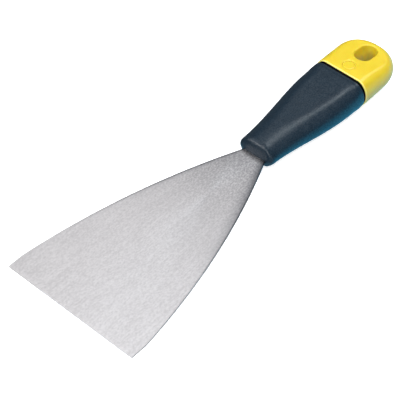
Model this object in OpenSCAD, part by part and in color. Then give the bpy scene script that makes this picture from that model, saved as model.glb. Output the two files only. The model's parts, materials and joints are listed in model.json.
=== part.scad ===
// Drywall taping knife: a flared steel blade whose tang is moulded into a hard
// plastic core, with a soft grip moulded over the core. Millimetres.
// The blade's mid-plane is z = 0, +X points at the cutting edge, and the origin
// is halfway along, across and through the whole tool.

/* [Blade] */
// Width of the cutting edge
blade_w = 80; // [76:1:84]
// Length of steel in front of the handle
blade_len = 131.5; // [122:0.5:140]
// Length of the parallel stretch behind the cutting edge
corner_len = 9.5; // [4:1:14]
// Width of the steel where it enters the handle
neck_w = 14; // [13:0.5:17]
// Radius of the arc along each flared side
side_r = 426; // [380:1:480]
// Thickness at the handle
neck_t = 1.5; // [1.2:0.1:1.8]
// Thickness just behind the cutting edge
edge_t = 0.6; // [0.5:0.1:0.8]
// Length of the small bevels that make the edge
bevel_len = 0.7; // [0.4:0.1:1.2]
// Thickness left at the very edge
edge_land = 0.3; // [0.2:0.05:0.4]

/* [Tang] */
// Length of steel inside the handle
tang_len = 62; // [50:1:64]
// Width of the tang behind its shoulder
tang_w = 12; // [10:0.5:13]
// Length of full neck width inside the handle
shoulder_len = 6; // [4:0.5:9]
// Number of holes that the core is moulded through
tang_holes = 3; // [2:1:3]
// Diameter of those holes
tang_hole_d = 5; // [3:0.5:6]

/* [Handle] */
// Length of the handle, nose to end
handle_len = 103.5; // [100:0.5:110]
// Length of the soft grip
grip_len = 69.5; // [67:0.5:72]
// Width of the nose
nose_w = 21; // [20:0.5:24]
// Greatest width
handle_w = 34; // [32:0.5:38]
// Thickness at the nose
nose_t = 13.6; // [12.8:0.2:15]
// Thickness at the seam between grip and cap
handle_t = 18.2; // [17:0.2:20]
// Thickness at the end of the cap
end_t = 14.8; // [14:0.2:16]
// Wall of the soft grip over the core
grip_wall = 3; // [2.4:0.1:3.4]

/* [Hanging slot] */
// Length of the slot
slot_len = 14; // [12:0.5:16]
// Width of the slot
slot_w = 9.6; // [8:0.2:11]
// Distance from the slot's middle to the end of the handle
slot_from_end = 12.5; // [11.5:0.1:14]

/* [Hidden] */

// Places along X
edge_x = (blade_len + handle_len) / 2;
nose_x = edge_x - blade_len;
seam_x = nose_x - grip_len;
end_x = nose_x - handle_len;
slot_x = end_x + slot_from_end;
tang_end_x = nose_x - tang_len;

// Facets of the large arcs and of the small rounds
arc_fn = 256;
round_fn = 64;
// How far a cutting shape goes past a face, and a size that clears the whole handle
beyond = 1;
across = 2 * handle_w;

// Handle shape
shoulder_from = 1.5;
shoulder_to = 62;
nose_bow = 0.4;
nose_corner_r = 4.4;
nose_edge_r = 3.4;
neck_edge_r = 6;
neck_edge_from = 2;
neck_edge_run = 8;
palm_edge_r = 7.5;
end_edge_r = 4.6;
end_len = 16.5;
end_power = 0.89;
nose_steps = 3;
corner_steps = 6;
side_steps = 20;
end_steps = 12;
edge_steps = 5;

// Tang and core details
first_hole_gap = 10;
first_lock = 6;
lock_groove_depth = 1.2;
lock_groove_len = 3;
lock_groove_gap = 9;
lock_groove_count = 3;
lock_hole_r = 1.6;
lock_hole_y = 9.6;
lock_hole_count = 2;

// 0 to 1, with no slope at either end
function ease(u) = let (t = min(max(u, 0), 1)) t * t * (3 - 2 * t);
function mix(a, b, u) = a + (b - a) * u;

// Half the handle's width and thickness, and the extent of its rounded edge, s behind the nose
function half_w(s) = mix(nose_w, handle_w, ease((s - shoulder_from) / (shoulder_to - shoulder_from))) / 2;
function half_t(s) = s < grip_len
    ? mix(nose_t, handle_t, 1 - pow(1 - s / grip_len, 2)) / 2
    : mix(handle_t, end_t, ease((s - grip_len) / (handle_len - grip_len))) / 2;
function edge_r(s) = s < grip_len
    ? mix(mix(nose_edge_r, neck_edge_r, ease((s - neck_edge_from) / neck_edge_run)),
          palm_edge_r, ease(s / grip_len))
    : mix(palm_edge_r, end_edge_r, ease((s - grip_len) / (handle_len - grip_len)));

// One side of the handle's outline, [s, half width], from the nose's middle to the end's middle
function outline_side() = let (side_s = nose_bow + nose_corner_r,
                               corner_y = half_w(side_s) - nose_corner_r,
                               end_s = handle_len - end_len) concat(
    [for (i = [0 : nose_steps - 1]) [nose_bow * pow(i / nose_steps, 2), corner_y * i / nose_steps]],
    [for (i = [0 : corner_steps - 1]) let (a = 90 * i / corner_steps)
        [side_s - nose_corner_r * cos(a), corner_y + nose_corner_r * sin(a)]],
    [for (i = [0 : side_steps - 1]) let (s = mix(side_s, end_s, i / side_steps)) [s, half_w(s)]],
    [for (i = [0 : end_steps]) let (a = 90 * i / end_steps)
        [end_s + end_len * pow(sin(a), end_power), half_w(end_s) * pow(cos(a), end_power)]]);

// Unit normal into the handle at point i of the side, from its neighbours
function inward(side, i) = let (n = len(side),
                                p = i == 0 ? [side[1][0], -side[1][1]] : side[i - 1],
                                q = i == n - 1 ? [side[n - 2][0], -side[n - 2][1]] : side[i + 1],
                                d = q - p) [d[1], -d[0]] / norm(d);

// One level of the rounded edge: angle -90 is the underside, 0 the widest line and 90 the top
function level(side, inset, angle) = [for (i = [0 : len(side) - 1]) let (
        s = side[i][0],
        r = max(edge_r(s) - inset, 1),
        in = inset + r * (1 - cos(angle)),
        p = side[i] + inward(side, i) * in)
    [nose_x - p[0], max(p[1], 0), (half_t(s) - inset) * sin(angle)]];

// The whole handle as one rounded solid, or the same shape drawn in by inset all round
module handle_form(inset = 0) {
    side = outline_side();
    n = len(side);
    // A loop goes down the +Y side and back up the -Y side, without repeating the two middles
    size = 2 * n - 2;
    bands = 2 * edge_steps;
    points = [for (k = [0 : bands]) let (l = level(side, inset, mix(-90, 90, k / bands)))
        each concat(l, [for (i = [n - 2 : -1 : 1]) [l[i][0], -l[i][1], l[i][2]]])];
    walls = [for (k = [0 : bands - 1], i = [0 : size - 1]) let (
            a = k * size + i,
            b = k * size + (i + 1) % size)
        each [[a, b + size, b], [a, a + size, b + size]]];
    // The flat top and underside are strips across, between mirrored pairs of points
    under = [for (i = [0 : n - 2]) [i, i + 1, size - i - 1, if (i > 0) size - i]];
    top = [for (f = under) [for (k = [len(f) - 1 : -1 : 0]) f[k] + bands * size]];
    polyhedron(points, concat(walls, under, top));
}

// A block across the whole handle between two places along X
module slab(x_from, x_to) {
    translate([min(x_from, x_to), -across / 2, -across / 2]) cube([abs(x_to - x_from), across, across]);
}

// Flared outline of the exposed steel: two big arcs meet a parallel stretch at the edge
module flare_outline() {
    flare_x = edge_x - corner_len;
    chord = [flare_x - nose_x, (blade_w - neck_w) / 2];
    middle = [mix(nose_x, flare_x, 0.5), mix(neck_w, blade_w, 0.5) / 2];
    sagitta_arm = sqrt(side_r * side_r - norm(chord) * norm(chord) / 4);
    centre = middle + [chord[1], -chord[0]] / norm(chord) * sagitta_arm;
    intersection() {
        translate(centre) circle(r = side_r, $fn = arc_fn);
        translate([centre[0], -centre[1]]) circle(r = side_r, $fn = arc_fn);
        translate([nose_x, -blade_w / 2]) square([blade_len, blade_w]);
    }
    translate([flare_x, -blade_w / 2]) square([corner_len, blade_w]);
}

// Outline of the steel hidden in the handle, with its rounded end and its holes
module tang_outline() {
    first_hole_x = nose_x - shoulder_len - first_hole_gap;
    last_hole_x = tang_end_x + tang_w / 2;
    difference() {
        union() {
            translate([nose_x - shoulder_len, -neck_w / 2]) square([shoulder_len, neck_w]);
            translate([last_hole_x, -tang_w / 2]) square([nose_x - shoulder_len - last_hole_x, tang_w]);
            translate([last_hole_x, 0]) circle(d = tang_w, $fn = round_fn);
        }
        for (i = [0 : tang_holes - 1])
            translate([mix(first_hole_x, last_hole_x, i / (tang_holes - 1)), 0])
                circle(d = tang_hole_d, $fn = round_fn);
    }
}

module tang() {
    translate([0, 0, -neck_t / 2]) linear_extrude(neck_t) tang_outline();
}

// Side view of the exposed steel: ground thinner towards the edge, then a short bevel
module ground_profile() {
    bevel_x = edge_x - bevel_len;
    polygon([
        [nose_x, -neck_t / 2],
        [bevel_x, -edge_t / 2],
        [edge_x, -edge_land / 2],
        [edge_x, edge_land / 2],
        [bevel_x, edge_t / 2],
        [nose_x, neck_t / 2]
    ]);
}

// Stem under the grip, with grooves and holes that the soft grip flows into
module core_stem() {
    stem_t = half_t(grip_len - first_lock) - grip_wall;
    difference() {
        intersection() {
            handle_form(grip_wall);
            slab(nose_x, seam_x - beyond);
        }
        for (i = [0 : lock_groove_count - 1], side = [-1, 1])
            translate([seam_x + first_lock + i * lock_groove_gap, 0, side * stem_t])
                cube([lock_groove_len, across, 2 * lock_groove_depth], center = true);
        for (i = [0 : lock_hole_count - 1], side = [-1, 1])
            translate([seam_x + first_lock + lock_groove_gap * (i + 0.5), side * lock_hole_y, -across / 2])
                cylinder(r = lock_hole_r, h = across, $fn = round_fn);
    }
}

// The hard core less the tang: stem and cap in one piece
module core_body() {
    difference() {
        union() {
            intersection() {
                handle_form();
                slab(seam_x, end_x - beyond);
            }
            core_stem();
        }
        tang();
    }
}

module hanging_slot() {
    straight = slot_len - slot_w;
    translate([slot_x, 0, -across / 2]) linear_extrude(across) {
        for (end = [-1, 1]) translate([end * straight / 2, 0]) circle(d = slot_w, $fn = round_fn);
        square([straight, slot_w], center = true);
    }
}

module blade() {
    color("silver") union() {
        intersection() {
            translate([0, 0, -neck_t]) linear_extrude(2 * neck_t) flare_outline();
            rotate([90, 0, 0]) linear_extrude(2 * blade_w, center = true) ground_profile();
        }
        tang();
    }
}

module handle_core() {
    color("gold") difference() {
        core_body();
        hanging_slot();
    }
}

module grip_sleeve() {
    color("darkslategray") difference() {
        intersection() {
            handle_form();
            slab(nose_x + beyond, seam_x);
        }
        core_body();
        tang();
    }
}

blade();
handle_core();
grip_sleeve();
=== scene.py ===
"""Looks for a drywall taping knife: ground steel blade, soft dark grip and hard yellow core.

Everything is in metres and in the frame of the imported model: +X points at the cutting
edge, Z is across the blade's faces, and the origin is the middle of the whole tool.
Along the handle, s is the distance behind the nose, so x = NOSE_X - s. Handle outlines
are arrays of [s, y].
"""

import json
import math

import bmesh
import bpy
import numpy as np
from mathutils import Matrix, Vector


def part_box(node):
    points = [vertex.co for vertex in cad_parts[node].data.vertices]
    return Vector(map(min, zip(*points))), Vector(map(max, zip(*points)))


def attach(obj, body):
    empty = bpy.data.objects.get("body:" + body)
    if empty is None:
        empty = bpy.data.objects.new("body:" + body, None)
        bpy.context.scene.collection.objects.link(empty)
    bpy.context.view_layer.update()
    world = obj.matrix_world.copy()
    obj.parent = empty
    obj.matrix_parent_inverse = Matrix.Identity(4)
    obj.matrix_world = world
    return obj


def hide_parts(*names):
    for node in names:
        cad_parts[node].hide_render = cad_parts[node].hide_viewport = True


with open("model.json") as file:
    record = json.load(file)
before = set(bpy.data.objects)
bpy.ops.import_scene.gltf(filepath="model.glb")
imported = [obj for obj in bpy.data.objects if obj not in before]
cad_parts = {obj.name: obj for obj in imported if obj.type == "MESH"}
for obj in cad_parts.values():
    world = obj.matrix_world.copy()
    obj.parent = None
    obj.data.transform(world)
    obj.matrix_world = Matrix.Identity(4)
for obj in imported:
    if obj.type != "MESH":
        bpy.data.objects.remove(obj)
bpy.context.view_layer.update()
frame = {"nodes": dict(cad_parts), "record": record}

# ---------------------------------------------------------------- sizes from the frame
blade_low, blade_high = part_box("blade")
core_low, core_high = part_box("handle_core")
grip_low, grip_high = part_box("grip_sleeve")

EDGE_X = blade_high.x
NOSE_X = grip_high.x
SEAM_X = grip_low.x
END_X = core_low.x
TANG_END_X = blade_low.x
GRIP_LEN = NOSE_X - SEAM_X
HANDLE_LEN = NOSE_X - END_X
TOOL_LEN = EDGE_X - END_X
PALM_HALF_W = core_high.y
PALM_HALF_T = core_high.z
EDGE_HALF_W = blade_high.y
NECK_HALF_T = blade_high.z

# ---------------------------------------------------------------- handle form
NOSE_HALF_W = 0.0110
NOSE_HALF_T = 0.0068
END_HALF_T = 0.0068
FLARE_FROM = 0.0015
FLARE_TO = 0.0605
NOSE_RISE = 0.0012
NOSE_RISE_LEN = 0.040
NOSE_BOW = 0.0004
NOSE_CORNER_R = 0.0029
END_LEN = 0.0165
END_POWER = 0.89
END_EDGE_R = 0.0046

# Raised flat of the grip: its half width at the nose and at the seam, how far it starts
# behind the nose, and the slight drop near the seam where it ends
FLAT_NOSE_HALF_W = 0.0043
FLAT_SEAM_HALF_W = 0.0103
FLAT_FLARE_FROM = 0.008
FLAT_SETBACK = 0.0036
FLAT_SETBACK_FADE = 0.018
FLAT_CORNER_R = 0.0022
FLAT_REAR_GAP = 0.0030
FLAT_REAR_DROP = 0.00025
FLAT_REAR_RUN = 0.0012
CREASE_SLOPE = math.tan(math.radians(30))
CREASE_FADE = 0.006
# Height over which the crease is rounded, near the nose and towards the seam, and the
# stretch over which it changes
CREASE_SOFT_NOSE = 0.0022
CREASE_SOFT_PALM = 0.0012
CREASE_SOFT_FROM = 0.010
CREASE_SOFT_RUN = 0.030

# Handles of the cubic that draws the rounded edge. ARC makes a quarter circle, CREASE_PULL
# the straighter side below a crease, and the others the nose's tilted front face
ARC = 0.5523
CREASE_PULL = 0.98
FRONT_LEAN = 0.11
FRONT_TOP = 0.40
FRONT_HEIGHT = 0.62

# The grip's end in section, as distance from the seam and depth below the surface: a thin
# wall stands against the cap, then comes a groove, and then the grip's rounded edge
SEAM_GAP = 0.00003
GROOVE_S = [0.0, 0.00014, 0.00018, 0.00070, 0.00077]
GROOVE_DEPTH = [0.00090, 0.00090, 0.0018, 0.0018, 0.00035]
GRIP_EDGE = 0.0006
# The cap's front in the same two measures: a step down, and then the cap's rounded edge
CAP_STEP_S = [0.0, 0.00055, 0.00060]
CAP_STEP_DEPTH = [0.00090, 0.00090, 0.00060]
CAP_LIP_R = 0.0006
# The CAD stem is cut off this far behind the seam, and kept this far inside the palm
STEM_OVERLAP = 0.002
STEM_INSET = 0.0028

# Hanging slot, and the plain ring in the cap's face between the slot and the seam
slot_mount = next(m for m in frame["record"]["mounts"] if m["name"] == "hanging_slot")
SLOT_X = slot_mount["pos_m"][0]
SLOT_LEN = 0.014
SLOT_W = 0.0096
SLOT_RIM_R = 0.0009
SLOT_RIM_TURN = math.radians(78)
SLOT_RIM_FLARE = 0.001
SLOT_CLEARANCE = 0.003
RING_X = (SEAM_X + SLOT_X + SLOT_LEN / 2) / 2
RING_R = 0.0034
RING_LINE = 0.00035
RING_DEPTH = 0.0002

# ---------------------------------------------------------------- blade and tang form
CORNER_LEN = 0.0095
NECK_HALF_W = 0.007
SIDE_R = 0.426
EDGE_HALF_T = 0.0003
BEVEL_LEN = 0.0007
LAND_HALF_T = 0.00015
# The soft corner along each side: its width, never more than a share of the thickness,
# and its height as a share of its width
SIDE_SOFT = 0.00028
SIDE_SOFT_SHARE = 0.8
SIDE_SOFT_HEIGHT = 0.6
SHOULDER_LEN = 0.006
SHOULDER_STEP = 1e-5
TANG_HALF_W = 0.006
TANG_TIP_HALF_W = 0.0004
TANG_HOLE_R = 0.0025
TANG_HOLES = 3
FIRST_HOLE_GAP = 0.010
HOLE_HALF_T = 0.003

# ---------------------------------------------------------------- mesh resolution
# Columns across the handle, and the distance over which the rows of a flat grow straight
ROW_COLUMNS = 28
ROW_FADE = 0.012
CORNER_POINTS = 7
SIDE_STEP = 0.0012
GRIP_REAR_POINTS = 14
# Angle at which the rounded end's row meets its sides
END_TURN = math.radians(50)
END_POINTS = 12
CAP_SIDE_POINTS = 16
# Levels of the rounded edge, and how much closer together they are at the flat
PROFILE_STEPS = 22
PROFILE_BIAS = 1.6
LIP_STEPS = 5
CIRCLE_POINTS = 72
RIM_STEPS = 7
RING_SECTION_POINTS = 10
# Columns and stations of the blade
BLADE_COLUMNS = 33
TIP_STATIONS = 12
TANG_STATIONS = 24
SHOULDER_STATIONS = 5
FLARE_STATIONS = 90
CORNER_STATIONS = 9
# Distance within which corners are merged, and the angles in degrees of sharp edges
WELD = 1e-6
PLASTIC_SHARP = 38
STEEL_SHARP = 30
# Places across, from -1 to 1, closer together towards both ends
CLUSTERED = np.sin(np.linspace(-1, 1, ROW_COLUMNS + 1) * math.pi / 2)


def ease(u):
    """0 to 1, with no slope at either end."""
    u = np.clip(u, 0.0, 1.0)
    return u * u * (3 - 2 * u)


def mix(a, b, u):
    return a + (b - a) * u


def half_w(s):
    """Half the handle's width, s behind the nose."""
    return mix(NOSE_HALF_W, PALM_HALF_W, ease((s - FLARE_FROM) / (FLARE_TO - FLARE_FROM)))


def half_t(s):
    """Half the handle's thickness, s behind the nose."""
    front = mix(NOSE_HALF_T, PALM_HALF_T, 1 - np.clip(1 - s / GRIP_LEN, 0, 1) ** 2)
    rear = mix(PALM_HALF_T, END_HALF_T, ease((s - GRIP_LEN) / (HANDLE_LEN - GRIP_LEN)))
    return np.where(s < GRIP_LEN, front, rear)


def rise(s):
    """Height of the handle's middle above the blade's, s behind the nose."""
    return NOSE_RISE * (1 - ease(s / NOSE_RISE_LEN))


def flat_half_w(s):
    """Half the width of the raised flat on the grip."""
    share = ease((s - FLAT_FLARE_FROM) / (FLARE_TO - FLAT_FLARE_FROM))
    return mix(FLAT_NOSE_HALF_W, FLAT_SEAM_HALF_W, share)


def crease_soft(s):
    """How far below the flat the crease's rounding reaches, as a height."""
    return mix(CREASE_SOFT_NOSE, CREASE_SOFT_PALM, ease((s - CREASE_SOFT_FROM) / CREASE_SOFT_RUN))


def soften(excess, s):
    """Lowering that rounds the meeting of flat and edge, whose heights differ by excess there."""
    soft = crease_soft(s)
    closeness = np.clip(1 - np.abs(excess) / soft, 0, 1)
    return soft * closeness ** 2 / 4


# ---------------------------------------------------------------- mesh helpers
def new_object(name, verts, faces):
    mesh = bpy.data.meshes.new(name)
    mesh.from_pydata([tuple(map(float, v)) for v in verts], [], faces)
    bm = bmesh.new()
    bm.from_mesh(mesh)
    bmesh.ops.recalc_face_normals(bm, faces=bm.faces)
    bm.to_mesh(mesh)
    bm.free()
    obj = bpy.data.objects.new(name, mesh)
    bpy.context.scene.collection.objects.link(obj)
    return obj


def combine(obj, other, operation):
    """Boolean of obj with other, applied; other is then removed."""
    mod = obj.modifiers.new("combine", "BOOLEAN")
    mod.operation = operation
    mod.solver = "EXACT"
    mod.object = other
    apply_modifiers(obj)
    bpy.data.objects.remove(other)


def apply_modifiers(obj):
    graph = bpy.context.evaluated_depsgraph_get()
    mesh = bpy.data.meshes.new_from_object(obj.evaluated_get(graph))
    obj.modifiers.clear()
    obj.data = mesh


def cad_copy(node):
    """A copy of a CAD node's mesh with its corners merged into one closed skin."""
    mesh = frame["nodes"][node].data.copy()
    mesh.materials.clear()
    bm = bmesh.new()
    bm.from_mesh(mesh)
    bmesh.ops.remove_doubles(bm, verts=bm.verts, dist=WELD)
    bm.to_mesh(mesh)
    bm.free()
    copy = bpy.data.objects.new(node + "_copy", mesh)
    bpy.context.scene.collection.objects.link(copy)
    return copy


def block(low, high):
    """A box-shaped cutter."""
    corners = [(x, y, z) for x in (low[0], high[0]) for y in (low[1], high[1]) for z in (low[2], high[2])]
    faces = [(0, 1, 3, 2), (4, 6, 7, 5), (0, 4, 5, 1), (2, 3, 7, 6), (0, 2, 6, 4), (1, 5, 7, 3)]
    return new_object("block", corners, faces)


def tube_stack(name, rings):
    """A closed solid from rings of equal point counts, with flat ends."""
    n = len(rings[0])
    verts = [p for ring in rings for p in ring]
    faces = []
    for r in range(len(rings) - 1):
        for i in range(n):
            a = r * n + i
            b = r * n + (i + 1) % n
            faces.append((a, b, b + n, a + n))
    faces.append(tuple(range(n)))
    faces.append(tuple(range((len(rings) - 1) * n, len(rings) * n)))
    return new_object(name, verts, faces)


def smooth(obj, angle):
    """Smooth shading, except at edges sharper than angle in degrees."""
    mesh = obj.data
    mesh.shade_smooth()
    mesh.set_sharp_from_angle(angle=math.radians(angle))


# ---------------------------------------------------------------- the rounded handle halves
def profile(t, creased, front, slope_ratio):
    """Inward share a and height share b of the rounded edge at t, for each outline point.

    A plain edge is a quarter ellipse. A creased one meets the raised flat at a slope, and
    a front one is a tilted face with a tighter edge at its top."""
    a1 = mix(0.0, FRONT_LEAN, front)
    b1 = mix(mix(ARC, CREASE_PULL - CREASE_PULL * slope_ratio, creased), FRONT_HEIGHT, front)
    a2 = mix(1 - ARC, FRONT_TOP, front)
    b2 = mix(mix(1.0, 1.0 - ARC * slope_ratio, creased), 1.0, front)
    u = 1 - t
    a = 3 * u * u * t * a1 + 3 * u * t * t * a2 + t ** 3
    b = 3 * u * u * t * b1 + 3 * u * t * t * b2 + t ** 3
    return a, b


def ring_order(row, side):
    """Outline points from the seam's -Y end, round the closed end, to the seam's +Y end."""
    minus = side[::-1] * [1, -1]
    return np.concatenate([minus, row[1:-1], side])


def edge_levels(outer, inner, creased, front, drop):
    """The rounded edge as rows of points, from the widest line up to the flat."""
    slope_ratio = CREASE_SLOPE * np.linalg.norm(inner - outer, axis=1) / half_t(outer[:, 0])
    levels = []
    # Levels are closer together where the edge meets the flat
    for t in 1 - (1 - np.linspace(0, 1, PROFILE_STEPS + 1)) ** PROFILE_BIAS:
        a, b = profile(t, creased, front, slope_ratio)
        p = outer + (inner - outer) * a[:, None]
        z = (half_t(p[:, 0]) - drop(p[:, 0])) * b
        z = z - soften((1 - b) * half_t(p[:, 0]), p[:, 0]) * creased * (1 - front) * b
        levels.append(np.column_stack([p, z]))
    return levels


def fill_flat(verts, faces, base, sign, inner_row, inner_side, creased, drop):
    """Adds the flat on one face, from the row to the seam, and returns its last row.

    base is the first point of the level that the flat joins, and sign is 1 for the top."""
    sides = len(inner_side)
    cols = len(inner_row) - 1
    grid = np.zeros((sides, cols + 1), int)
    grid[0, :] = base + sides - 1 + np.arange(cols + 1)
    grid[:, 0] = base + sides - 1 - np.arange(sides)
    grid[:, cols] = base + sides - 1 + cols + np.arange(sides)
    across = inner_row[:, 1] / inner_row[-1, 1]
    bulge = inner_row[:, 0] - inner_row[-1, 0]
    run = np.abs(inner_side[:, 0] - inner_side[0, 0])
    for j in range(1, sides):
        # Rows keep the first row's shape at first and are straight farther on
        fade = 1 - float(ease(run[j] / ROW_FADE))
        for k in range(1, cols):
            s = inner_side[j, 0] + bulge[k] * fade
            y = inner_side[j, 1] * mix(CLUSTERED[k], across[k], fade)
            z = half_t(s) - drop(s)
            z = z - soften(CREASE_SLOPE * (inner_side[j, 1] - abs(y)), s) * creased[j]
            grid[j, k] = len(verts)
            verts.append(np.array([s, y, sign * float(z)]))
    for j in range(sides - 1):
        for k in range(cols):
            faces.append((grid[j, k], grid[j, k + 1], grid[j + 1, k + 1], grid[j + 1, k]))
    return list(grid[-1])


def handle_half(name, outer_row, outer_side, inner_row, inner_side, creased, front, drop, lip):
    """One end of the handle, closed at its row and flat at the seam.

    Rows run across from -Y to +Y, and sides run from the row to the seam. creased and front
    say for each outline point how far its edge is of that kind. drop lowers the faces, by s,
    and lip draws the section in, by distance from the seam."""
    outer = ring_order(outer_row, outer_side)
    inner = ring_order(inner_row, inner_side)
    n = len(outer)
    levels = edge_levels(outer, inner, creased, front, drop)
    rings = [level * [1, 1, -1] for level in levels[:0:-1]] + levels
    verts = list(np.concatenate(rings))
    faces = []
    for k in range(len(rings) - 1):
        for i in range(n - 1):
            a = k * n + i
            faces.append((a, a + 1, a + n + 1, a + n))
    side_creased = (creased * (1 - front))[-len(inner_side):]
    flat = (inner_row, inner_side, side_creased, drop)
    top = fill_flat(verts, faces, (len(rings) - 1) * n, 1, *flat)
    bottom = fill_flat(verts, faces, 0, -1, *flat)
    # The flat end at the seam
    wall_minus = [k * n for k in range(1, len(rings) - 1)]
    wall_plus = [k * n + n - 1 for k in range(1, len(rings) - 1)]
    faces.append(tuple(bottom[::-1] + wall_minus + top + wall_plus[::-1]))
    verts = np.array(verts)
    round_lip(verts, faces, lip)
    verts[:, 2] += rise(verts[:, 0])
    verts[:, 0] = NOSE_X - verts[:, 0]
    return new_object(name, verts, [tuple(int(i) for i in f) for f in faces])


def round_lip(verts, faces, lip):
    """Draws the section in near the seam, whose face is the last one, by lip(distance)."""
    normal = np.zeros_like(verts)
    for f in faces[:-1]:
        p = verts[list(f)]
        facing = np.cross(p[2] - p[0], p[-1] - p[1])
        for i in f:
            normal[i] += facing
    normal[:, 0] = 0
    length = np.linalg.norm(normal, axis=1)
    length[length == 0] = 1
    normal /= length[:, None]
    # Outward is away from the middle of the section
    flip = np.sign(np.sum(normal[:, 1:] * verts[:, 1:], axis=1))
    normal *= np.where(flip == 0, 1, flip)[:, None]
    seam_s = verts[faces[-1][0], 0]
    verts -= normal * lip(np.abs(verts[:, 0] - seam_s))[:, None]


def quarter_round(past):
    """Depth share of a rounded edge: 1 where past is 0, and 0 from 1 on."""
    return 1 - np.sqrt(1 - (1 - np.clip(past, 0, 1)) ** 2)


def cap_lip(gap):
    """Depth below the cap's surface: a step down and a rounded edge."""
    edge = CAP_LIP_R * quarter_round((gap - CAP_STEP_S[-1]) / CAP_LIP_R)
    return np.where(gap < CAP_STEP_S[-1], np.interp(gap, CAP_STEP_S, CAP_STEP_DEPTH), edge)


def grip_lip(gap):
    """Depth below the grip's surface: a thin wall, a groove and a rounded edge."""
    edge = GROOVE_DEPTH[-1] * quarter_round((gap - GROOVE_S[-1]) / GRIP_EDGE)
    return np.where(gap < GROOVE_S[-1], np.interp(gap, GROOVE_S, GROOVE_DEPTH), edge)


# Distances from the seam at which the two ends have points, farthest first
EDGE_ANGLES = np.linspace(0, math.pi / 2, LIP_STEPS + 1)
GRIP_ROUND = GROOVE_S[-1] + GRIP_EDGE * np.sin(EDGE_ANGLES[:0:-1])
GRIP_LIP_STATIONS = np.concatenate([GRIP_ROUND, GROOVE_S[::-1]])
CAP_ROUND = CAP_STEP_S[-1] + CAP_LIP_R * (1 - np.sin(EDGE_ANGLES[:-1]))
CAP_LIP_STATIONS = np.concatenate([CAP_ROUND, CAP_STEP_S[::-1]])


def corner_arc(s, y, radius, turn):
    """A rounded corner about [s, y], from the row at turn 0 to the side at a quarter turn."""
    return np.column_stack([s - radius * np.cos(turn), y + radius * np.sin(turn)])


def grip_form():
    seam_s = GRIP_LEN - SEAM_GAP
    corner_s = NOSE_BOW + NOSE_CORNER_R
    corner_y = half_w(corner_s) - NOSE_CORNER_R
    half_turn = math.pi / 4
    # Outer row: the bowed front and half of each rounded corner
    row_y = corner_y + NOSE_CORNER_R * math.sin(half_turn)
    y = row_y * CLUSTERED
    beyond = np.clip(np.abs(y) - corner_y, 0, None)
    s = np.where(beyond > 0, corner_s - np.sqrt(NOSE_CORNER_R ** 2 - beyond ** 2),
                 NOSE_BOW * (y / corner_y) ** 2)
    outer_row = np.column_stack([s, y])
    # Outer side: the rest of the corner, then the flared side
    turn = np.linspace(half_turn, math.pi / 2, CORNER_POINTS)
    corner = corner_arc(corner_s, corner_y, NOSE_CORNER_R, turn)
    lip = seam_s - GRIP_LIP_STATIONS
    rear_from = GRIP_LEN - FLAT_REAR_GAP - 2 * FLAT_REAR_RUN
    count = int((rear_from - corner_s) / SIDE_STEP)
    flared_s = np.linspace(corner_s, rear_from, count)[1:]
    rear_s = np.linspace(rear_from, lip[0], GRIP_REAR_POINTS)[1:-1]
    side_s = np.concatenate([flared_s, rear_s, lip])
    outer_side = np.concatenate([corner, np.column_stack([side_s, half_w(side_s)])])
    # Inner outline: the raised flat, with small corners of its own
    flat_s = FLAT_SETBACK + FLAT_CORNER_R
    flat_y = flat_half_w(flat_s) - FLAT_CORNER_R
    flat_row_y = flat_y + FLAT_CORNER_R * math.sin(half_turn)
    y = y * flat_row_y / row_y
    beyond = np.clip(np.abs(y) - flat_y, 0, FLAT_CORNER_R)
    inner_row = np.column_stack([flat_s - np.sqrt(FLAT_CORNER_R ** 2 - beyond ** 2), y])
    corner = corner_arc(flat_s, flat_y, FLAT_CORNER_R, turn)
    shift = (corner_s - flat_s) * (1 - ease((side_s - corner_s) / FLAT_SETBACK_FADE))
    inner_s = side_s - shift
    inner_side = np.concatenate([corner, np.column_stack([inner_s, flat_half_w(inner_s)])])
    # Where the edge is creased, and where it is the nose's front
    outer = ring_order(outer_row, outer_side)
    crease_end = GRIP_LEN - FLAT_REAR_GAP
    creased = 1 - ease((outer[:, 0] - crease_end + CREASE_FADE) / CREASE_FADE)
    round_the_corner = np.clip((np.abs(outer[:, 1]) - corner_y) / NOSE_CORNER_R, 0, 1)
    front = np.where(outer[:, 0] <= corner_s, 1 - round_the_corner ** 2, 0)

    def rear_drop(s):
        return FLAT_REAR_DROP * ease((s - crease_end) / FLAT_REAR_RUN + 0.5)

    return handle_half("grip_sleeve_soft", outer_row, outer_side, inner_row, inner_side,
                       creased, front, rear_drop, grip_lip)


def end_outline_s(y):
    """How far behind the nose the rounded end reaches at half width y."""
    share = np.clip(np.abs(y) / PALM_HALF_W, 0, 1) ** (1 / END_POWER)
    return HANDLE_LEN - END_LEN + END_LEN * np.sin(np.arccos(share)) ** END_POWER


def no_drop(s):
    """The cap's faces aren't lowered."""
    return 0 * s


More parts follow.
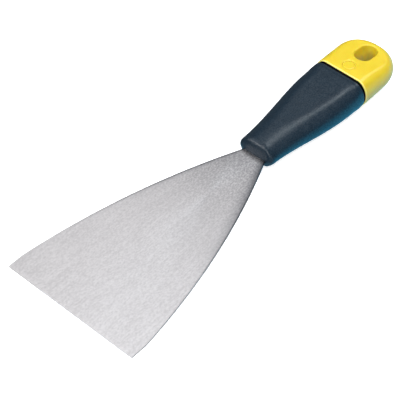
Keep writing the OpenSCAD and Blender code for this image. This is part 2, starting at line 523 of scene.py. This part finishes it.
def cap_form():
    end_s = HANDLE_LEN - END_LEN
    # Outer outline: the end's row, then the rest of the bend and the side up to the seam
    y_turn = PALM_HALF_W * math.cos(END_TURN) ** END_POWER
    y = np.linspace(-y_turn, y_turn, ROW_COLUMNS + 1)
    outer_row = np.column_stack([end_outline_s(y), y])
    turn = np.linspace(END_TURN, 0, END_POINTS)
    bend_s = end_s + END_LEN * np.sin(turn) ** END_POWER
    bend = np.column_stack([bend_s, PALM_HALF_W * np.cos(turn) ** END_POWER])
    lip = GRIP_LEN + CAP_LIP_STATIONS
    side_s = np.concatenate([np.linspace(end_s, lip[0], CAP_SIDE_POINTS)[1:-1], lip])
    outer_side = np.concatenate([bend, np.column_stack([side_s, half_w(side_s)])])
    # Inner outline: the half from the end's middle to the seam is drawn in and mirrored
    chain = np.concatenate([outer_row[ROW_COLUMNS // 2:-1], outer_side])
    towards_end = ease((chain[:, 0] - GRIP_LEN) / (HANDLE_LEN - GRIP_LEN))
    reach = mix(PALM_HALF_W - FLAT_SEAM_HALF_W, END_EDGE_R, towards_end)
    tangent = np.gradient(chain, axis=0)
    tangent[0] = [0, 1]
    tangent /= np.linalg.norm(tangent, axis=1)[:, None]
    inward = np.column_stack([-tangent[:, 1], tangent[:, 0]])
    drawn_in = chain + inward * reach[:, None]
    drawn_in[-len(side_s):, 0] = side_s
    half = drawn_in[:ROW_COLUMNS // 2 + 1]
    inner_row = np.concatenate([(half[1:] * [1, -1])[::-1], half])
    inner_side = drawn_in[ROW_COLUMNS // 2:]
    plain = np.zeros(len(ring_order(outer_row, outer_side)))
    return handle_half("handle_core_hard", outer_row, outer_side, inner_row, inner_side,
                       plain, plain, no_drop, cap_lip)


# ---------------------------------------------------------------- pieces
def obround(offset):
    """Outline of the hanging slot, grown by offset, as [x, y]."""
    r = SLOT_W / 2 + offset
    straight = SLOT_LEN - SLOT_W
    # Half a step round, because the middle of a straight side belongs to neither end
    a = np.linspace(0, 2 * math.pi, CIRCLE_POINTS, endpoint=False) + math.pi / CIRCLE_POINTS
    return np.column_stack([SLOT_X + np.sign(np.cos(a)) * straight / 2 + r * np.cos(a), r * np.sin(a)])


def slot_cutter():
    """The slot, flared at both faces so that its rims are rounded."""
    top = []
    for angle in np.linspace(0, SLOT_RIM_TURN, RIM_STEPS):
        ring = obround(SLOT_RIM_R * (1 - math.cos(angle)))
        z = half_t(NOSE_X - ring[:, 0]) - SLOT_RIM_R * (1 - math.sin(angle))
        top.append(np.column_stack([ring, z]))
    # Straight on from the rim, and then up until clear of the cap
    last = SLOT_RIM_R * (1 - math.cos(SLOT_RIM_TURN))
    grown = obround(last + SLOT_RIM_FLARE * math.sin(SLOT_RIM_TURN))
    z = top[-1][:, 2] + SLOT_RIM_FLARE * math.cos(SLOT_RIM_TURN)
    top.append(np.column_stack([grown, z]))
    top.append(np.column_stack([grown, z + SLOT_CLEARANCE]))
    rings = [ring * [1, 1, -1] for ring in top[::-1]] + top
    return tube_stack("slot_cutter", rings)


def ring_cutter():
    """A thin torus that leaves a shallow circular line in the cap's top face."""
    verts = []
    faces = []
    for i in range(CIRCLE_POINTS):
        a = 2 * math.pi * i / CIRCLE_POINTS
        middle_x = RING_X + RING_R * math.cos(a)
        face_z = float(half_t(np.float64(NOSE_X - middle_x)))
        here = i * RING_SECTION_POINTS
        ahead = (i + 1) % CIRCLE_POINTS * RING_SECTION_POINTS
        for k in range(RING_SECTION_POINTS):
            b = 2 * math.pi * k / RING_SECTION_POINTS
            r = RING_R + RING_LINE * math.cos(b)
            z = face_z + RING_LINE - RING_DEPTH + RING_LINE * math.sin(b)
            verts.append((RING_X + r * math.cos(a), r * math.sin(a), z))
            after = (k + 1) % RING_SECTION_POINTS
            faces.append((here + k, here + after, ahead + after, ahead + k))
    return new_object("ring_cutter", verts, faces)


def make_core():
    """The cap from its own form, joined to the stem from the CAD model."""
    obj = cap_form()
    combine(obj, slot_cutter(), "DIFFERENCE")
    combine(obj, ring_cutter(), "DIFFERENCE")
    stem = cad_copy("handle_core")
    far = 2 * PALM_HALF_W
    inner_y = PALM_HALF_W - STEM_INSET
    inner_z = PALM_HALF_T - STEM_INSET
    in_front = block((SEAM_X - STEM_OVERLAP, -far, -far), (NOSE_X, far, far))
    combine(stem, in_front, "INTERSECT")
    within = block((SEAM_X - 2 * STEM_OVERLAP, -inner_y, -inner_z), (NOSE_X, inner_y, inner_z))
    combine(stem, within, "INTERSECT")
    combine(obj, stem, "UNION")
    return obj


def make_grip():
    obj = grip_form()
    combine(obj, cad_copy("handle_core"), "DIFFERENCE")
    combine(obj, cad_copy("blade"), "DIFFERENCE")
    return obj


def blade_half_w(x):
    """Half the blade's width at x: two arcs meet a parallel stretch, and a tang goes on behind."""
    flare_x = EDGE_X - CORNER_LEN
    chord = np.array([flare_x - NOSE_X, EDGE_HALF_W - NECK_HALF_W])
    length = np.linalg.norm(chord)
    middle = np.array([(flare_x + NOSE_X) / 2, (EDGE_HALF_W + NECK_HALF_W) / 2])
    arm = math.sqrt(SIDE_R ** 2 - length ** 2 / 4)
    centre = middle + np.array([chord[1], -chord[0]]) / length * arm
    flared = centre[1] + np.sqrt(SIDE_R ** 2 - (np.minimum(x, flare_x) - centre[0]) ** 2)
    round_x = TANG_END_X + TANG_HALF_W
    tip_squared = TANG_HALF_W ** 2 - np.clip(round_x - x, 0, None) ** 2
    tip = np.sqrt(np.clip(tip_squared, TANG_TIP_HALF_W ** 2, None))
    tang = np.where(x > NOSE_X - SHOULDER_LEN, NECK_HALF_W, tip)
    return np.where(x > flare_x, EDGE_HALF_W, np.where(x > NOSE_X, flared, tang))


def blade_half_t(x):
    """Half the blade's thickness at x."""
    bevel_x = EDGE_X - BEVEL_LEN
    taper = mix(NECK_HALF_T, EDGE_HALF_T, (x - NOSE_X) / (bevel_x - NOSE_X))
    bevel = mix(EDGE_HALF_T, LAND_HALF_T, (x - bevel_x) / BEVEL_LEN)
    return np.where(x < NOSE_X, NECK_HALF_T, np.where(x < bevel_x, taper, bevel))


def blade_stations():
    """Places along X for the blade's sections, from the tang's end to the cutting edge."""
    shoulder_x = NOSE_X - SHOULDER_LEN
    round_x = TANG_END_X + TANG_HALF_W
    flare_x = EDGE_X - CORNER_LEN
    bevel_x = EDGE_X - BEVEL_LEN
    return np.concatenate([
        round_x - TANG_HALF_W * np.sin(np.linspace(math.pi / 2, 0, TIP_STATIONS)),
        np.linspace(round_x, shoulder_x - SHOULDER_STEP, TANG_STATIONS)[1:],
        np.linspace(shoulder_x + SHOULDER_STEP, NOSE_X, SHOULDER_STATIONS),
        np.linspace(NOSE_X, flare_x, FLARE_STATIONS)[1:],
        np.linspace(flare_x, bevel_x, CORNER_STATIONS)[1:],
        [EDGE_X - BEVEL_LEN / 2, EDGE_X]])


def make_blade():
    """One closed grid: stations along X, columns across, a soft corner along each side.

    The attribute side_gap holds each point's distance from the blade's side."""
    sections = []
    for x in blade_stations():
        w = blade_half_w(x)
        t = blade_half_t(x)
        soft = min(SIDE_SOFT, t * SIDE_SOFT_SHARE)
        corner_z = t - SIDE_SOFT_HEIGHT * soft
        flat_y = np.linspace(-(w - soft), w - soft, BLADE_COLUMNS)
        ys = np.concatenate([[-w], flat_y, [w]])
        zs = np.concatenate([[corner_z], np.full(BLADE_COLUMNS, t), [corner_z]])
        top = np.column_stack([np.full(BLADE_COLUMNS + 2, x), ys, zs])
        sections.append(np.concatenate([top, (top * [1, 1, -1])[::-1]]))
    obj = tube_stack("blade_ground", sections)
    gaps = [float(blade_half_w(np.float64(v.co.x)) - abs(v.co.y)) for v in obj.data.vertices]
    obj.data.attributes.new("side_gap", "FLOAT", "POINT").data.foreach_set("value", gaps)
    return obj


def cut_tang_holes(obj):
    first_x = NOSE_X - SHOULDER_LEN - FIRST_HOLE_GAP
    last_x = TANG_END_X + TANG_HALF_W
    for i in range(TANG_HOLES):
        hole_x = mix(first_x, last_x, i / (TANG_HOLES - 1))
        a = np.linspace(0, 2 * math.pi, CIRCLE_POINTS // 2, endpoint=False)
        ring = np.column_stack([hole_x + TANG_HOLE_R * np.cos(a), TANG_HOLE_R * np.sin(a),
                                np.full(len(a), HOLE_HALF_T)])
        combine(obj, tube_stack("hole", [ring * [1, 1, -1], ring]), "DIFFERENCE")


core = make_core()
grip = make_grip()
blade = make_blade()
cut_tang_holes(blade)
smooth(core, PLASTIC_SHARP)
smooth(grip, PLASTIC_SHARP)
smooth(blade, STEEL_SHARP)

# ---------------------------------------------------------------- materials
# Colours, linear. A pair is mixed by noise
STEEL = ((0.462, 0.450, 0.458), (0.616, 0.602, 0.609))
STEEL_SPECK = (0.20, 0.20, 0.21)
# Painted shade on the steel near the handle
STEEL_PAINTED_SHADE = (0.12, 0.12, 0.14)
# Darker bands along the neck's edges, painted shadow under the nose and painted dark reflection along the
# edges
STEEL_DARK_BANDS_AND_SHADE = (0.085, 0.092, 0.105)
# Painted reflection on the blade's narrow sides: dark at the neck, paler towards the cutting edge
STEEL_SIDE_DARK_REFLECTION = (0.070, 0.073, 0.080)
STEEL_SIDE_PALE_REFLECTION = (0.46, 0.46, 0.47)
GRIP = ((0.0040, 0.0135, 0.024), (0.0070, 0.0190, 0.032))
GRIP_WORN = (0.030, 0.045, 0.062)
YELLOW = ((0.672, 0.505, 0.020), (0.702, 0.535, 0.026))
YELLOW_WORN = (0.86, 0.70, 0.09)
# Painted highlight on the cap's rounded lip at the seam
YELLOW_PAINTED_HIGHLIGHT = (0.95, 0.86, 0.30)
# Painted shade in the groove and on the step at the seam
SEAM_PAINTED_SHADE = (0.0010, 0.0010, 0.0012)

# Stretches in front of the nose over which the steel's looks change
COARSE_SPAN = (0.006, 0.050)
STEEL_SHADE_SPAN = (0.015, 0.075)
EDGE_BAND_SPAN = (0.005, 0.078)
NOSE_SHADOW_SPAN = (-0.002, 0.018)
DARK_REFLECTION_SPAN = (0.030, 0.105)
SIDE_REFLECTION_SPAN = (0.030, 0.085)
# Change from the far side's values to the near side's, either way from the middle
SIDE_CHANGE = 0.004
# Distance from the blade's side that the darker bands and the painted dark line reach, far and near
EDGE_BAND_REACH = (0.0034, 0.0080)
DARK_REFLECTION_REACH = (0.0015, 0.0010)
EDGE_BAND_FALLOFF = 2.2
# Fade of the painted black shade at the seam, on the grip's side and on the cap's
GROOVE_FADE = 0.0006
CAP_STEP_FADE = 0.00005
# Half the width of the painted highlight on the lip beside it, and its fade
LIP_HIGHLIGHT_HALF = CAP_LIP_R * 0.6
LIP_HIGHLIGHT_FADE = 0.0003
# Stretch about the nose over which the tinted sheet turns grey
AHEAD_SPAN = (-0.008, 0.012)


class Nodes:
    """A short way to write a node tree."""

    def __init__(self, name):
        self.material = bpy.data.materials.new(name)
        self.material.use_nodes = True
        self.tree = self.material.node_tree
        self.shader = self.tree.nodes["Principled BSDF"]
        self.position = self.add("ShaderNodeTexCoord").outputs["Object"]

    def add(self, kind, **settings):
        node = self.tree.nodes.new(kind)
        for key, value in settings.items():
            setattr(node, key, value)
        return node

    def link(self, source, target):
        self.tree.links.new(source, target)

    def fix(self, **values):
        """Sets the shader's sockets to uniform values; _ in a name stands for a space."""
        for key, value in values.items():
            self.shader.inputs[key.replace("_", " ")].default_value = value

    def feed(self, name, source):
        """Links a source to the shader's socket of that name."""
        self.link(source, self.shader.inputs[name])

    def noise(self, scale, stretch=(1, 1, 1), detail=4.0, roughness=0.5):
        """Noise of about one cell per 1/scale metres, stretched along the axes."""
        mapping = self.add("ShaderNodeMapping")
        mapping.inputs["Scale"].default_value = [1 / k for k in stretch]
        self.link(self.position, mapping.inputs["Vector"])
        node = self.add("ShaderNodeTexNoise")
        node.inputs["Scale"].default_value = scale
        node.inputs["Detail"].default_value = detail
        node.inputs["Roughness"].default_value = roughness
        self.link(mapping.outputs["Vector"], node.inputs["Vector"])
        return node.outputs["Fac"]

    def ramp(self, source, low, high, out_low, out_high):
        """out_low where source is low or less, out_high where it is high or more."""
        node = self.add("ShaderNodeMapRange")
        for key, value in (("From Min", low), ("From Max", high), ("To Min", out_low), ("To Max", out_high)):
            node.inputs[key].default_value = value
        self.link(source, node.inputs["Value"])
        return node.outputs["Result"]

    def math(self, operation, a, b):
        node = self.add("ShaderNodeMath", operation=operation)
        for socket, value in zip(node.inputs, (a, b)):
            if isinstance(value, (int, float)):
                socket.default_value = value
            else:
                self.link(value, socket)
        return node.outputs[0]

    def blend(self, factor, a, b):
        """Colour a where factor is 0 and b where it is 1."""
        node = self.add("ShaderNodeMix", data_type="RGBA")
        self.link(factor, node.inputs["Factor"])
        # Sockets 6 and 7 are the two colours, and output 2 is their mix
        for socket, value in ((node.inputs[6], a), (node.inputs[7], b)):
            if isinstance(value, tuple):
                socket.default_value = (*value, 1)
            else:
                self.link(value, socket)
        return node.outputs[2]

    def bump(self, height, distance, strength):
        node = self.add("ShaderNodeBump")
        node.inputs["Distance"].default_value = distance
        node.inputs["Strength"].default_value = strength
        self.link(height, node.inputs["Height"])
        self.feed("Normal", node.outputs["Normal"])

    def axis(self, name):
        split = self.add("ShaderNodeSeparateXYZ")
        self.link(self.position, split.inputs["Vector"])
        return split.outputs[name]

    def ahead(self, span, at_start, at_end):
        """Changes along X over a stretch given in front of the nose."""
        return self.ramp(self.axis("X"), NOSE_X + span[0], NOSE_X + span[1], at_start, at_end)

    def by_side(self, far, near):
        """One value on the -Y side and another on the +Y side."""
        return self.ramp(self.axis("Y"), -SIDE_CHANGE, SIDE_CHANGE, far, near)

    def band(self, name, middle, half, fade):
        """1 within half of a place along an axis, and 0 farther off than that and fade."""
        away = self.math("ABSOLUTE", self.math("SUBTRACT", self.axis(name), middle), 0)
        return self.ramp(away, half, half + fade, 1, 0)

    def sideways(self, low, high):
        """0 on faces that look along Z and 1 on the blade's narrow sides."""
        geometry = self.add("ShaderNodeNewGeometry")
        split = self.add("ShaderNodeSeparateXYZ")
        self.link(geometry.outputs["Normal"], split.inputs["Vector"])
        return self.ramp(self.math("ABSOLUTE", split.outputs["Y"], 0), low, high, 0, 1)

    def pointiness(self, low, high):
        """0 on flat places and 1 on edges."""
        geometry = self.add("ShaderNodeNewGeometry")
        return self.ramp(geometry.outputs["Pointiness"], low, high, 0, 1)


def ground_steel():
    m = Nodes("ground_steel")
    m.fix(Metallic=1.0, Anisotropic=0.35)
    streaks = m.noise(900, (14, 1, 1), 3)
    bands = m.noise(140, (2.5, 1, 1), 2)
    grain = m.noise(1300, (1.6, 1, 1), 3, 0.6)
    tone = m.math("ADD", m.math("MULTIPLY", streaks, 0.25), m.math("MULTIPLY", bands, 0.08))
    tone = m.math("ADD", tone, m.math("MULTIPLY", grain, 0.67))
    face = m.blend(m.ramp(tone, 0.38, 0.62, 0, 1), *STEEL)
    # The grind is coarser near the handle, where it leaves specks, and the steel there is darkened as
    # painted shade
    specks = m.ramp(grain, 0.44, 0.60, 0.46, 0)
    face = m.blend(m.math("MULTIPLY", m.ahead(COARSE_SPAN, 1, 0), specks), face, STEEL_SPECK)
    face = m.blend(m.ahead(STEEL_SHADE_SPAN, 0.12, 0), face, STEEL_PAINTED_SHADE)
    # Darker bands run along the neck's edges, wider and a little stronger on the near side, and thin out
    # towards the flare
    gap = m.add("ShaderNodeAttribute", attribute_name="side_gap").outputs["Fac"]
    inward = m.math("DIVIDE", gap, m.by_side(*EDGE_BAND_REACH))
    scale = m.math("POWER", m.ramp(inward, 0.03, 1, 1, 0), EDGE_BAND_FALLOFF)
    scale = m.math("MULTIPLY", m.ahead(EDGE_BAND_SPAN, 1, 0), scale)
    scale = m.math("MULTIPLY", scale, m.by_side(0.95, 1))
    # Painted dark reflection: a thin dark line follows each edge farther out
    inward = m.math("DIVIDE", gap, m.by_side(*DARK_REFLECTION_REACH))
    dark_reflection_line = m.math("MULTIPLY", m.ramp(inward, 0.36, 1, 1, 0), m.ahead(DARK_REFLECTION_SPAN, 0.85, 0))
    # Painted shadow under the nose, joined with the darker bands and the painted dark lines
    dark = m.math("MAXIMUM", m.math("MAXIMUM", scale, m.ahead(NOSE_SHADOW_SPAN, 0.22, 0)), dark_reflection_line)
    face = m.blend(dark, face, STEEL_DARK_BANDS_AND_SHADE)
    # Painted reflection on the narrow sides, dark at the neck and paler towards the cutting edge
    side = m.blend(m.ahead(SIDE_REFLECTION_SPAN, 0, 1), STEEL_SIDE_DARK_REFLECTION, STEEL_SIDE_PALE_REFLECTION)
    m.feed("Base Color", m.blend(m.sideways(0.25, 0.6), face, side))
    m.feed("Roughness", m.ramp(tone, 0.38, 0.62, 0.30, 0.42))
    m.bump(m.math("ADD", streaks, grain), 0.000026, 0.6)
    return m.material


def dark_grip():
    m = Nodes("dark_grip")
    m.fix(IOR=1.40)
    grain = m.noise(1500, detail=3, roughness=0.6)
    mottle = m.noise(260, detail=4)
    worn = m.pointiness(0.52, 0.60)
    tone = m.math("ADD", m.math("MULTIPLY", mottle, 0.5), m.math("MULTIPLY", grain, 0.5))
    colour = m.blend(m.ramp(tone, 0.35, 0.65, 0, 1), *GRIP)
    colour = m.blend(m.math("MULTIPLY", worn, 0.35), colour, GRIP_WORN)
    # Painted shade: the groove at the seam is painted black and has almost no gloss
    groove_x = SEAM_X + GROOVE_S[-1]
    groove = m.ramp(m.axis("X"), groove_x, groove_x + GROOVE_FADE, 1, 0)
    gloss = m.ramp(grain, 0.35, 0.65, 0.31, 0.69)
    m.feed("Base Color", m.blend(groove, colour, SEAM_PAINTED_SHADE))
    m.feed("Specular IOR Level", m.math("MULTIPLY", gloss, m.ramp(groove, 0, 1, 1, 0.05)))
    m.feed("Roughness", m.ramp(tone, 0.35, 0.65, 0.33, 0.44))
    m.bump(grain, 0.000060, 0.7)
    return m.material


def yellow_core():
    m = Nodes("yellow_core")
    peel = m.noise(700, detail=2)
    mottle = m.noise(140, detail=4)
    scuff = m.noise(1800, (7, 1, 1), 3)
    worn = m.pointiness(0.52, 0.62)
    colour = m.blend(m.ramp(mottle, 0.3, 0.7, 0, 1), *YELLOW)
    colour = m.blend(m.math("MULTIPLY", worn, 0.30), colour, YELLOW_WORN)
    # Painted highlight: the rounded lip at the seam is painted paler. Painted shade: the step beside it is
    # painted black
    lip = m.band("X", SEAM_X - CAP_STEP_S[-1] - CAP_LIP_R / 2, LIP_HIGHLIGHT_HALF, LIP_HIGHLIGHT_FADE)
    colour = m.blend(m.math("MULTIPLY", lip, 0.5), colour, YELLOW_PAINTED_HIGHLIGHT)
    step = m.band("X", SEAM_X - CAP_STEP_S[-1] / 2, CAP_STEP_S[-1] / 2, CAP_STEP_FADE)
    m.feed("Base Color", m.blend(step, colour, SEAM_PAINTED_SHADE))
    m.feed("Specular IOR Level", m.ramp(step, 0, 1, 0.5, 0.03))
    # Light spreads a little inside the plastic
    m.fix(IOR=1.5, Subsurface_Weight=0.35, Subsurface_Radius=(1.0, 0.45, 0.08), Subsurface_Scale=0.003)
    roughness = m.math("ADD", m.ramp(mottle, 0.3, 0.7, 0.33, 0.41), m.ramp(scuff, 0.55, 0.8, 0, 0.10))
    m.feed("Roughness", roughness)
    m.bump(peel, 0.00003, 0.35)
    return m.material


def paper(name, light, dark, glow=0.0, ahead_colour=None):
    """Matt paper that glows in its own colour, and may have another one ahead of the nose."""
    m = Nodes(name)
    colour = m.blend(m.noise(300, detail=3), dark, light)
    if ahead_colour:
        colour = m.blend(m.ahead(AHEAD_SPAN, 0, 1), colour, ahead_colour)
    m.feed("Base Color", colour)
    m.feed("Emission Color", colour)
    m.fix(Roughness=0.9, Specular_IOR_Level=0.0, Emission_Strength=glow)
    return m.material


for piece, material, node, slot in (
        (core, yellow_core(), "handle_core", "yellow_core"),
        (grip, dark_grip(), "grip_sleeve", "dark_grip"),
        (blade, ground_steel(), "blade", "ground_steel")):
    piece.data.materials.clear()
    piece.data.materials.append(material)
    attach(piece, "root")
    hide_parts(node)

# ---------------------------------------------------------------- floor
# The tool rests on its cutting edge and on the thickest part of the handle's underside,
# which is at the seam, so the floor slopes
FLOOR_REACH = 6.0
FLOOR_GAP = 0.0001
FLOOR_GLOW = 0.50
SHEET_DROP = 0.0002
SHEET_GLOW = 0.55
SHEET_SPLIT_Y = -0.02
floor_slope = (PALM_HALF_T - LAND_HALF_T) / (EDGE_X - SEAM_X)
floor_z = -LAND_HALF_T - floor_slope * EDGE_X - FLOOR_GAP


def sheet(name, drop, far_y, near_y, material):
    """A rectangle in the floor's plane or a little below it."""
    outline = ((-FLOOR_REACH, far_y), (FLOOR_REACH, far_y), (FLOOR_REACH, near_y), (-FLOOR_REACH, near_y))
    corners = [(x, y, floor_z + floor_slope * x - drop) for x, y in outline]
    obj = new_object(name, corners, [(0, 1, 2, 3)])
    obj.data.materials.append(material)
    return obj


# The camera sees a white floor, and nothing else does. The tool's gloss sees two sheets
# in nearly the same place: a blue-green one on the near side, and a dark one on the far
# side. That is how the tool looks in a product picture that was cut out afterwards.
floor_paper = paper("floor_paper", (0.97, 0.97, 0.97), (0.94, 0.94, 0.94), FLOOR_GLOW)
tinted_paper = paper("tinted_paper", (0.11, 0.62, 0.95), (0.09, 0.56, 0.88), SHEET_GLOW, (0.34, 0.40, 0.46))
dark_paper = paper("dark_paper", (0.10, 0.11, 0.12), (0.08, 0.09, 0.10))

floor = sheet("floor", 0, -FLOOR_REACH, FLOOR_REACH, floor_paper)
floor.visible_glossy = False
floor.visible_diffuse = False
floor.visible_shadow = False
tinted = sheet("tinted_sheet", SHEET_DROP, SHEET_SPLIT_Y, FLOOR_REACH, tinted_paper)
dark = sheet("dark_sheet", SHEET_DROP, -FLOOR_REACH, SHEET_SPLIT_Y, dark_paper)
for card in (tinted, dark):
    card.visible_camera = False
    card.visible_diffuse = False

# ---------------------------------------------------------------- light
# Watts that give an area light of one square metre a radiance of one
RADIANCE_TO_WATTS = 4.0
CEILING_Z = 1.1
TOOL = (0, 0, 0)


def soft_box(name, centre, size_x, size_y, radiance, aim=TOOL, colour=(1, 1, 1)):
    """A rectangular area light that looks at aim."""
    light = bpy.data.lights.new(name, "AREA")
    light.shape = "RECTANGLE"
    light.size = size_x
    light.size_y = size_y
    light.energy = radiance * size_x * size_y * RADIANCE_TO_WATTS
    light.color = colour
    obj = bpy.data.objects.new(name, light)
    obj.location = centre
    direction = Vector(centre) - Vector(aim)
    # A light straight above its aim already looks down
    if direction.x or direction.y:
        obj.rotation_euler = direction.to_track_quat("Z", "Y").to_euler()
    bpy.context.scene.collection.objects.link(obj)


# The ceiling is what the blade's face reflects, and the strip is what the near crease does
soft_box("ceiling", (-0.17, -0.22, CEILING_Z), 1.30, 1.46, 1.05, aim=(-0.17, -0.22, 0))
soft_box("crease_strip", (-0.82, 0.10, CEILING_Z), 0.28, 0.48, 9.6, colour=(0.86, 0.95, 1.0))
soft_box("front", (0.92, -0.50, 0.72), 0.5, 0.5, 8.4)
soft_box("key", (0.45, 0.78, 0.88), 0.7, 0.7, 5.8)

# Greys from below the tool, over the horizon, to straight above: place from 0 at the
# bottom to 1 at the top, and colour
WORLD_STOPS = (
    (0.47, (0.32, 0.32, 0.32)),
    (0.51, (0.12, 0.12, 0.13)),
    (0.80, (0.22, 0.22, 0.23)))


def studio_world():
    world = bpy.data.worlds.new("studio")
    world.use_nodes = True
    tree = world.node_tree
    background = tree.nodes["Background"]
    coordinate = tree.nodes.new("ShaderNodeTexCoord")
    split = tree.nodes.new("ShaderNodeSeparateXYZ")
    ramp = tree.nodes.new("ShaderNodeValToRGB")
    height = tree.nodes.new("ShaderNodeMapRange")
    height.inputs["From Min"].default_value = -1
    height.inputs["From Max"].default_value = 1
    tree.links.new(coordinate.outputs["Generated"], split.inputs["Vector"])
    tree.links.new(split.outputs["Z"], height.inputs["Value"])
    tree.links.new(height.outputs["Result"], ramp.inputs["Fac"])
    tree.links.new(ramp.outputs["Color"], background.inputs["Color"])
    stops = ramp.color_ramp.elements
    stops.remove(stops[1])
    stops[0].position = WORLD_STOPS[0][0]
    stops[0].color = (*WORLD_STOPS[0][1], 1)
    for position, colour in WORLD_STOPS[1:]:
        stops.new(position).color = (*colour, 1)
    bpy.context.scene.world = world


studio_world()
bpy.context.scene.view_settings.view_transform = "Standard"

# ---------------------------------------------------------------- camera
# The photo's view, from a camera fitted to the tool's outline in it
VIEW_AZIMUTH = math.radians(131.686)
VIEW_ELEVATION = math.radians(48.227)
VIEW_DISTANCE = 3.253 * TOOL_LEN
VIEW_TARGET = Vector((0.026, -0.00053, 0))
VIEW_LENS = 140.6
SENSOR_WIDTH = 36
CLIP = (0.01, 50)

back = Vector((math.sin(VIEW_AZIMUTH) * math.cos(VIEW_ELEVATION),
               -math.cos(VIEW_AZIMUTH) * math.cos(VIEW_ELEVATION), math.sin(VIEW_ELEVATION)))
camera_data = bpy.data.cameras.new("camera")
camera_data.lens = VIEW_LENS
camera_data.sensor_width = SENSOR_WIDTH
camera_data.clip_start, camera_data.clip_end = CLIP
camera = bpy.data.objects.new("camera", camera_data)
camera.location = VIEW_TARGET + back * VIEW_DISTANCE
camera.rotation_euler = back.to_track_quat("Z", "Y").to_euler()
bpy.context.scene.collection.objects.link(camera)
bpy.context.scene.camera = camera
